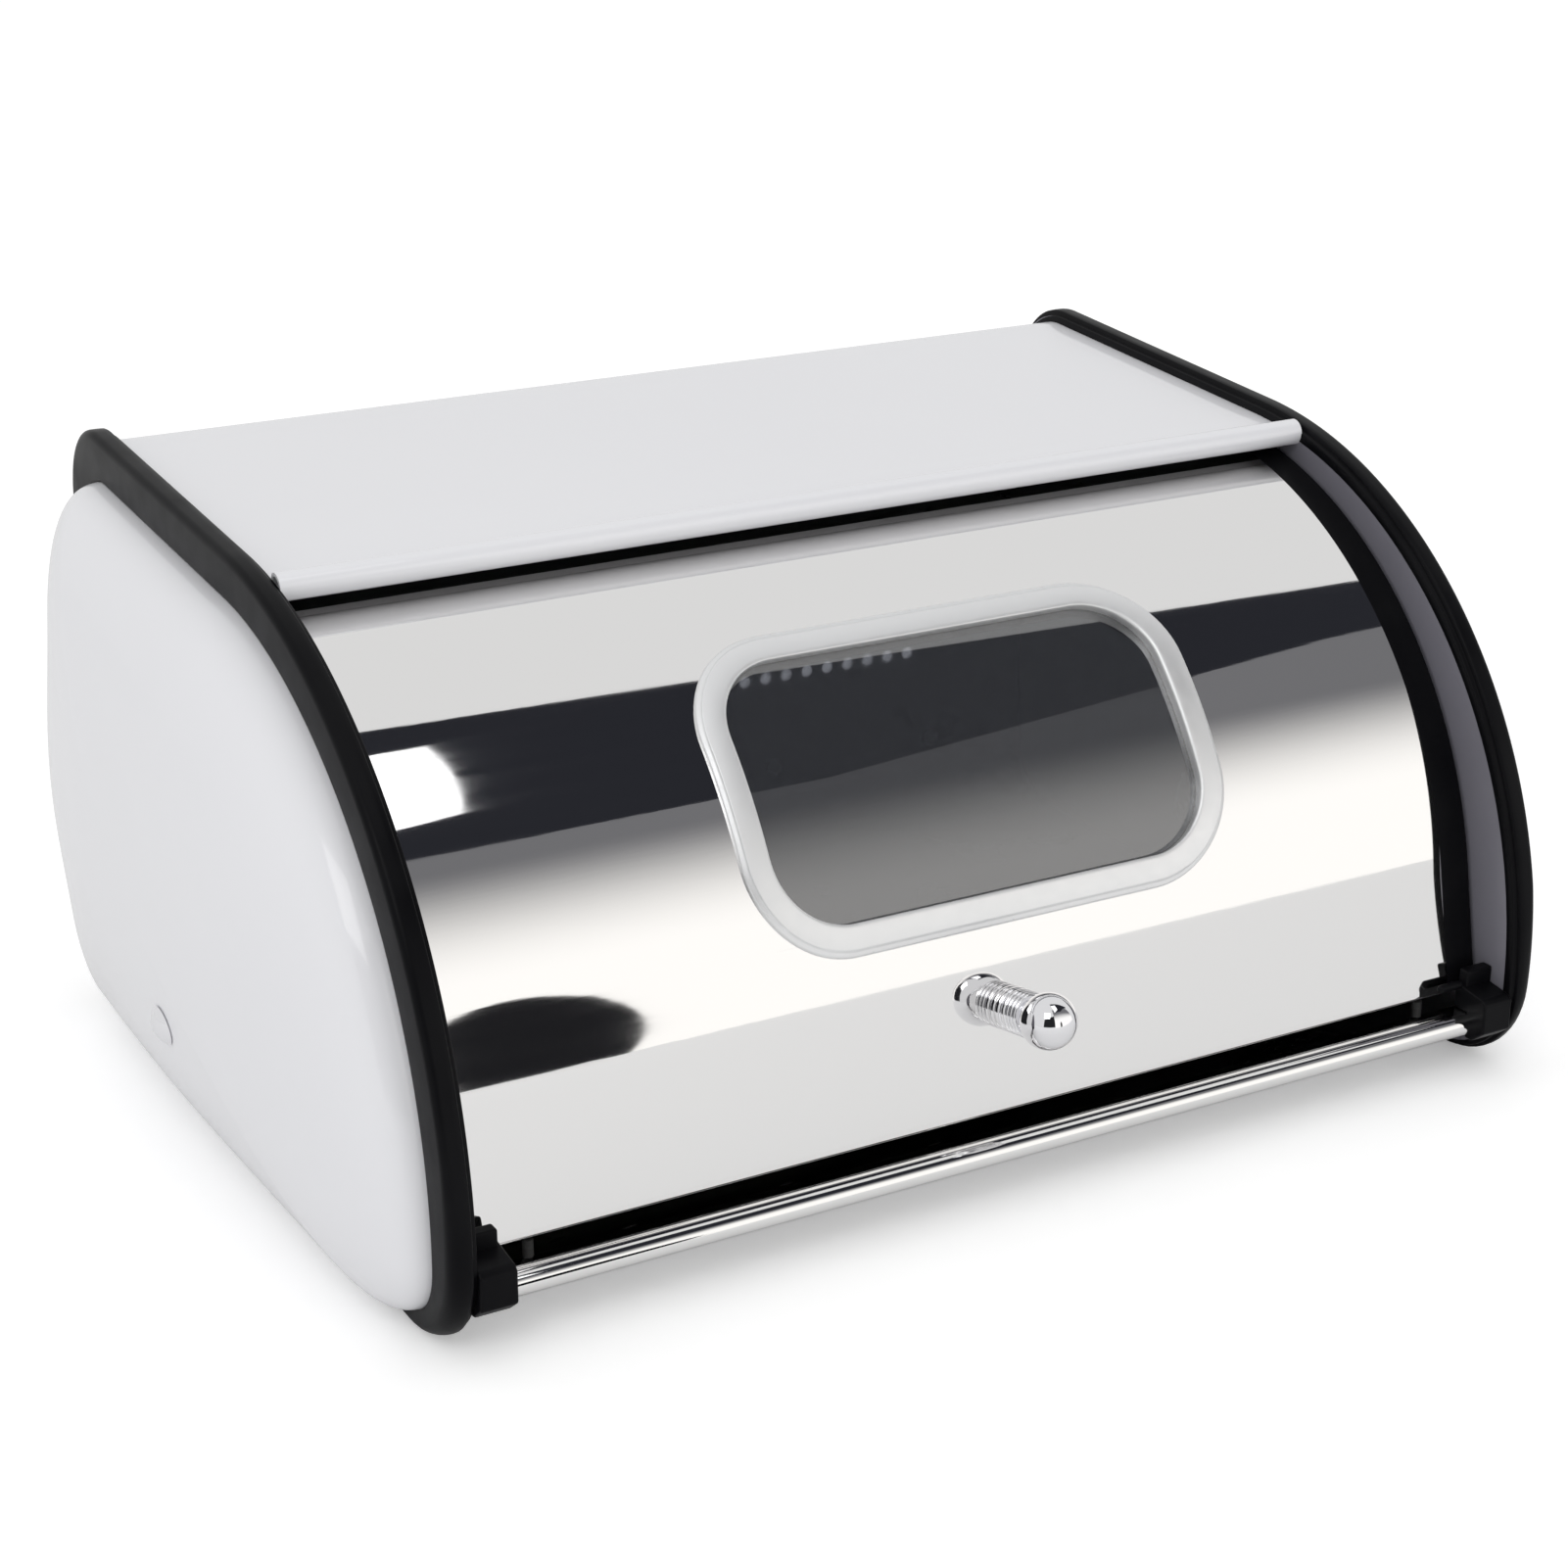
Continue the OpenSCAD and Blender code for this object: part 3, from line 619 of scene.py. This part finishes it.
build_door_panel()
build_window_ring("window_frame", in_mm((
    (0, -1), (0, 1.4), (0.25, 1.9), (0.7, 2.15), (1.4, 2.2), (6.6, 2.2), (7.0, 2.05), (7.15, 1.55),
    (7.5, 1.3), (8.1, 1.2), (8.4, 0.95), (8.5, 0.5), (8.5, 0), (2.4, 0), (2.4, -1))), "satin_aluminium")
build_window_pane()
build_window_ring("window_retainer", in_mm((
    (0, -2.5), (0, -4.0), (8.6, -4.0), (9, -3.6), (9, -1), (5.1, -1), (5.1, -2.5))), "black_trim")


# ---------------------------------------------------------------- knob and pivot heads

# Radius in mm that stands for a point on a turned profile's axis
ON_AXIS = 0.0001


def ball_arc(radius, middle, a0, a1, count):
    """Points in a turned profile along a ball whose middle is at a height on the axis."""
    return [(radius * cos(radians(a)), middle + radius * sin(radians(a)))
            for a in (a0 + (a1 - a0) * i / count for i in range(count + 1))]


def ring_profile(low, high, outer, core, edge):
    """One ring of a turned stem, with rounded edges, between two grooves."""
    return [(core, low), (outer - edge, low), (outer - 0.3 * edge, low + 0.3 * edge), (outer, low + edge),
            (outer, high - edge), (outer - 0.3 * edge, high - 0.3 * edge),
            (outer - edge, high), (core, high)]


def build_knob():
    """A ball on a ringed stem, turned from one bar."""
    outer, core, ball, reach = (v / MM for v in (STEM_R, STEM_CORE_R, BALL_R, KNOB_REACH))
    profile = [(ON_AXIS, 0)]
    for low, high, edge in ((0, 2.4, 0.6), (3, 5, 0.6), (5.6, 6.7, 0.4), (7.3, 8.4, 0.4), (9, 10.1, 0.4)):
        profile += ring_profile(low, high, outer, core, edge)
    profile += ball_arc(ball, reach, -degrees(acos(core / ball)), 90, 60)
    profile[-1] = (ON_AXIS, reach + ball)
    verts, faces = lathe([(r * MM, h * MM) for r, h in profile])
    place = door_frame(DOOR_FLAT, KNOB_X) @ Matrix.Translation((0, -KNOB_DROP, DOOR_R))
    piece("door_knob_skin", [place @ v for v in verts], faces, "door", "chrome_plate", sharp=50)


def shank_profile(low, high, radius, edge=0.4):
    """Profile of a plain round shank with a chamfered lower end."""
    return [(ON_AXIS, low), (radius - edge, low), (radius, low + edge), (radius, high), (ON_AXIS, high)]


def turned(profile, place, segments=64):
    """A turned shape from a profile in mm, moved by a matrix."""
    verts, faces = lathe([(r * MM, h * MM) for r, h in profile], segments)
    return [place @ v for v in verts], faces


def build_cover_rivet(side, name):
    """A shank through the end cover and a shallow domed head that follows the cover's slope."""
    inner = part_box("cover_rivet_right")[0].x / MM
    head_r, head_h, ball = 5.9, 3.0, 7.3
    head = [(ON_AXIS, 0), (head_r - 0.3, 0), (head_r, 0.25)]
    head += ball_arc(ball, head_h - ball, degrees(asin((ball - head_h + 0.6) / ball)), 90, 24)
    head[-1] = (ON_AXIS, head_h)
    head_x = TRIM_X + RIVET_RISE
    along = Matrix.Translation(RIVET_PLACE)
    slope = Matrix.Translation((head_x, 0, 0)) @ Matrix.Rotation(radians(RIVET_SLOPE_BACK), 4, "Z")
    slope = slope @ Matrix.Rotation(radians(90 + RIVET_SLOPE_UP), 4, "Y")
    quarter_turn = Matrix.Rotation(radians(90), 4, "Y")
    verts, faces = joined(
        turned(head, along @ slope),
        turned(shank_profile(inner, head_x / MM + 0.3, 2.5), along @ quarter_turn, 48))
    piece(name + "_skin", mirrored(verts, side), faces, "root", "chrome_plate", sharp=50)


def build_pivot_pin(side, name):
    """A shank through the side plate and a flat head with a rounded edge."""
    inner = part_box("pivot_pin_right")[0].x / MM
    base = HALF_W / MM
    head = [(ON_AXIS, base), (5.7, base), (6, base + 0.3), (6, base + 1.3)]
    head += [(5.3 + 0.7 * cos(a), base + 1.3 + 0.7 * sin(a)) for a in quarter()[1:]] + [(ON_AXIS, base + 2)]
    along = Matrix.Translation((0, PIVOT.y, PIVOT.z)) @ Matrix.Rotation(radians(90), 4, "Y")
    verts, faces = joined(turned(head, along), turned(shank_profile(inner, base + 0.3, 3), along, 48))
    piece(name + "_skin", mirrored(verts, side), faces, "root", "bright_steel", sharp=50)


build_knob()
for side, word in ((-1, "left"), (1, "right")):
    build_cover_rivet(side, "cover_rivet_" + word)
    build_pivot_pin(side, "pivot_pin_" + word)


# ---------------------------------------------------------------- sheets and sill

def offset_profile(line, thickness):
    """Closes an open (y, z) line into a sheet of a thickness on its left."""
    back = []
    for i, p in enumerate(line):
        before, after = line[max(i - 1, 0)], line[min(i + 1, len(line) - 1)]
        run = (after - before).normalized()
        back.append(p + Vector((-run[1], run[0])) * thickness)
    return list(line) + back[::-1]


def build_top_panel():
    """Top sheet: from the lap on the back, round the rear corner, to the rolled front bead."""
    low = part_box("top_panel")[0]
    outline = side_outline(SHEET_INSET, FOOT_R - SHEET_INSET, REAR_TOP_R - SHEET_INSET)
    bead_r = 4 * MM
    bead = Vector((low.y + bead_r, FRONT_CENTRE.y + FRONT_R - 6 * MM))
    run = [p for p in outline if p[1] > low.z + 2 * MM and p[0] > bead[0] + 7 * MM]
    run = [Vector((BACK_Y - SHEET_INSET, low.z))] + run
    fold = run[-1] + Vector((-1.2 * MM, -0.5 * MM))
    seat = Vector((bead[0] + 4.4 * MM, run[-1][1] - 0.9 * MM))
    roll = arc(bead, bead_r, 62, 62 + 325, 44)
    line = run + [fold, seat] + roll
    verts, faces = extrude_along_x(offset_profile(line, SHEET_T), -PLATE_X, PLATE_X)
    line_inside(piece("top_panel_skin", verts, faces, "root", "white_paint", sharp=35))


def build_sill():
    """Ledge under the door, with a back leg and a rolled front edge."""
    sheet, roll_r = 0.8 * MM, 3.4 * MM
    centre = Vector((sill_low.y + roll_r, sill_high.z - roll_r))
    line = [Vector((sill_high.y, sill_low.z)), Vector((sill_high.y, sill_high.z - 0.8 * MM))]
    line += [Vector((sill_high.y - 0.25 * MM, sill_high.z - 0.25 * MM))]
    line += [Vector((sill_high.y - 0.8 * MM, sill_high.z)), Vector((centre[0] + 3 * MM, sill_high.z))]
    line += arc(centre, roll_r, 90, 90 + 330, 48)
    verts, faces = extrude_along_x(offset_profile(line, sheet), sill_low.x, sill_high.x)
    piece("sill_strip_skin", verts, faces, "root", "polished_steel", sharp=35)


def box_mesh(low, high):
    """The corners and faces of a box, to be joined with other shapes."""
    xs, ys, zs = zip(low, high)
    verts = [Vector((x, y, z)) for x in xs for y in ys for z in zs]
    faces = [(0, 1, 3, 2), (4, 6, 7, 5), (0, 4, 5, 1), (2, 3, 7, 6), (0, 2, 6, 4), (1, 5, 7, 3)]
    return verts, faces


def build_bracket(side, name):
    """Moulded end block of the sill, with a tab behind it and on the right side a peg."""
    low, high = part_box("sill_bracket_left")
    x0, x1 = -high.x, -low.x
    front, back, top = low.y, PIVOT.y - BRACKET_BACK, BRACKET_TOP
    ledge = sill_high.z + 0.1 * MM
    profile = [(front, low.z + 4 * MM), (front, top - 3 * MM), (front + 1.5 * MM, top - 1.5 * MM),
               (back, top), (back, ledge), (back - 5.6 * MM, ledge), (back - 5.6 * MM, low.z),
               (front + 5 * MM, low.z)]
    block = extrude_along_x(profile, x0, x1)
    tab = box_mesh((x0 + 1 * MM, back - 4 * MM, top - 4.5 * MM), (x1, back, high.z))
    shapes = [block, tab]
    if side > 0:
        length, r = 9.6 * MM, 1.3 * MM
        outline = [(0.00001, 0), (r, 0)] + [(r * cos(a), length - r + r * sin(a)) for a in quarter(8)]
        outline[-1] = (0.00001, length)
        peg = lathe(outline, 32)
        turn = Matrix.Translation((x0 + 1.8 * MM, back - 1.3 * MM, top - 0.5 * MM))
        turn = turn @ Matrix.Rotation(radians(-90), 4, "Y")
        shapes.append(([turn @ v for v in peg[0]], peg[1]))
    verts, faces = joined(*shapes)
    piece(name + "_skin", mirrored(verts, side), faces, "root", "black_trim", bevel=0.7 * MM)


build_top_panel()
build_sill()
for side, word in ((-1, "left"), (1, "right")):
    build_bracket(side, "sill_bracket_" + word)


# ---------------------------------------------------------------- CAD nodes that stay

SLOT_OF_NODE = {p["node"]: p["material_slot"] for p in frame["record"]["subparts"]}
SOFT_EDGES = {"door_arm_left": 0.2 * MM, "door_arm_right": 0.2 * MM, "back_panel": 0.15 * MM,
              "base_panel": 0.2 * MM}

for name, node in frame["nodes"].items():
    slot = SLOT_OF_NODE[name]
    node.data.materials.clear()
    node.data.materials.append(MATERIALS[slot])
    node.data.polygons.foreach_set("use_smooth", [True] * len(node.data.polygons))
    node.data.set_sharp_from_angle(angle=radians(30))
    if name in ("back_panel", "base_panel"):
        line_inside(node)
    if name in SOFT_EDGES:
        add_bevel(node, SOFT_EDGES[name])


# ---------------------------------------------------------------- camera, floor and light

def add_camera():
    data = bpy.data.cameras.new("camera")
    data.sensor_width = 36
    data.lens = 69.85
    data.clip_start = 0.01
    camera = bpy.data.objects.new("camera", data)
    bpy.context.collection.objects.link(camera)
    camera.location = (-0.4279, PIVOT.y - 0.7696, 0.4105)
    camera.rotation_euler = (radians(90 - 20.885), 0, radians(-29.389))
    bpy.context.scene.camera = camera


def add_light(name, place, aim, size, power):
    data = bpy.data.lights.new(name, "AREA")
    data.shape = "RECTANGLE"
    data.size = size
    data.size_y = size
    data.energy = power
    light = bpy.data.objects.new(name, data)
    bpy.context.collection.objects.link(light)
    light.location = place
    light.rotation_euler = (Vector(aim) - Vector(place)).to_track_quat("-Z", "Y").to_euler()


def camera_only(tree, low, high):
    """A value that is high for what the camera sees directly and low for light that reaches the object."""
    path = tree.nodes.new("ShaderNodeLightPath")
    level = tree.nodes.new("ShaderNodeMapRange")
    level.inputs["To Min"].default_value = low
    level.inputs["To Max"].default_value = high
    tree.links.new(path.outputs["Is Camera Ray"], level.inputs["Value"])
    return level.outputs["Result"]


def add_floor():
    """A plain white sweep, lifted to paper white where the camera sees it."""
    bpy.ops.mesh.primitive_plane_add(size=12, location=(0, 0, -0.0002))
    floor = bpy.context.object
    floor.name = "floor"
    material = new_material("floor_white", (0.93, 0.93, 0.93), 0.9, Emission_Color=(1, 1, 1, 1))
    tree = material.node_tree
    shader = tree.nodes["Principled BSDF"]
    tree.links.new(camera_only(tree, 0, 0.3), shader.inputs["Emission Strength"])
    floor.data.materials.append(material)


def add_world(strength, seen_strength):
    """An even white surround that the camera sees a little brighter than the object does."""
    world = bpy.data.worlds.new("studio")
    bpy.context.scene.world = world
    world.use_nodes = True
    tree = world.node_tree
    background = tree.nodes["Background"]
    background.inputs["Color"].default_value = (1, 1, 1, 1)
    tree.links.new(camera_only(tree, strength, seen_strength), background.inputs["Strength"])


def add_card(name, corners, colour, top_colour=None, fade=(0, 1)):
    """A flag or reflector that only polished surfaces see. It can fade to another colour with height."""
    mesh = bpy.data.meshes.new(name)
    mesh.from_pydata(corners, [], [tuple(range(len(corners)))])
    material = bpy.data.materials.new(name)
    material.use_nodes = True
    tree = material.node_tree
    tree.nodes.clear()
    glow = tree.nodes.new("ShaderNodeEmission")
    glow.inputs["Color"].default_value = (*colour, 1)
    output = tree.nodes.new("ShaderNodeOutputMaterial")
    tree.links.new(glow.outputs["Emission"], output.inputs["Surface"])
    if top_colour:
        place = tree.nodes.new("ShaderNodeTexCoord")
        split = tree.nodes.new("ShaderNodeSeparateXYZ")
        height = tree.nodes.new("ShaderNodeMapRange")
        height.interpolation_type = "SMOOTHSTEP"
        height.inputs["From Min"].default_value, height.inputs["From Max"].default_value = fade
        mix = tree.nodes.new("ShaderNodeMix")
        mix.data_type = "RGBA"
        mix.inputs["A"].default_value = (*colour, 1)
        mix.inputs["B"].default_value = (*top_colour, 1)
        tree.links.new(place.outputs["Object"], split.inputs["Vector"])
        tree.links.new(split.outputs["Z"], height.inputs["Value"])
        tree.links.new(height.outputs["Result"], mix.inputs["Factor"])
        tree.links.new(mix.outputs["Result"], glow.inputs["Color"])
    card = bpy.data.objects.new(name, mesh)
    bpy.context.collection.objects.link(card)
    mesh.materials.append(material)
    for ray in ("camera", "diffuse", "shadow", "transmission", "volume_scatter"):
        setattr(card, "visible_" + ray, False)


add_camera()
add_floor()
add_world(0.8, 1.0)
add_light("key", (-1.1, -1.3, 1.7), (0, 0, 0.08), 0.9, 6.5)
add_card("overhead_flag", [(0.1, -0.03, 2), (0.1, -2.55, 2), (1.75, -1.0, 2), (2.8, -0.75, 2),
                           (2.8, -0.55, 2), (1.7, -0.43, 2)], (0.022, 0.023, 0.029))
add_card("softbox", [(0.1, -0.3, 1.95), (0.55, -0.36, 1.95), (0.66, -1.05, 1.95), (0.1, -1.45, 1.95)],
         (1.6, 1.6, 1.62))
add_card("front_reflector", [(-0.2, -1.5, -0.002), (4.5, -1.5, -0.002), (4.5, -1.5, 3.4), (-0.2, -1.5, 3.4)],
         (1.17, 1.15, 1.12), (0.18, 0.18, 0.19), (0.6, 1.75))
add_card("front_flag", [(0.41 + 0.09 * cos(a), -1.49, 0.18 + 0.3 * sin(a))
                        for a in (2 * pi * i / 32 for i in range(32))], (0.012, 0.012, 0.014))
add_card("camera_side_flag", [(-2.6, -2.1, 0.1), (-0.25, -2.1, 0.1), (-0.25, -2.1, 1.9), (-2.6, -2.1, 1.9)],
         (0.02, 0.02, 0.022))
view = bpy.context.scene.view_settings
view.view_transform = "Standard"
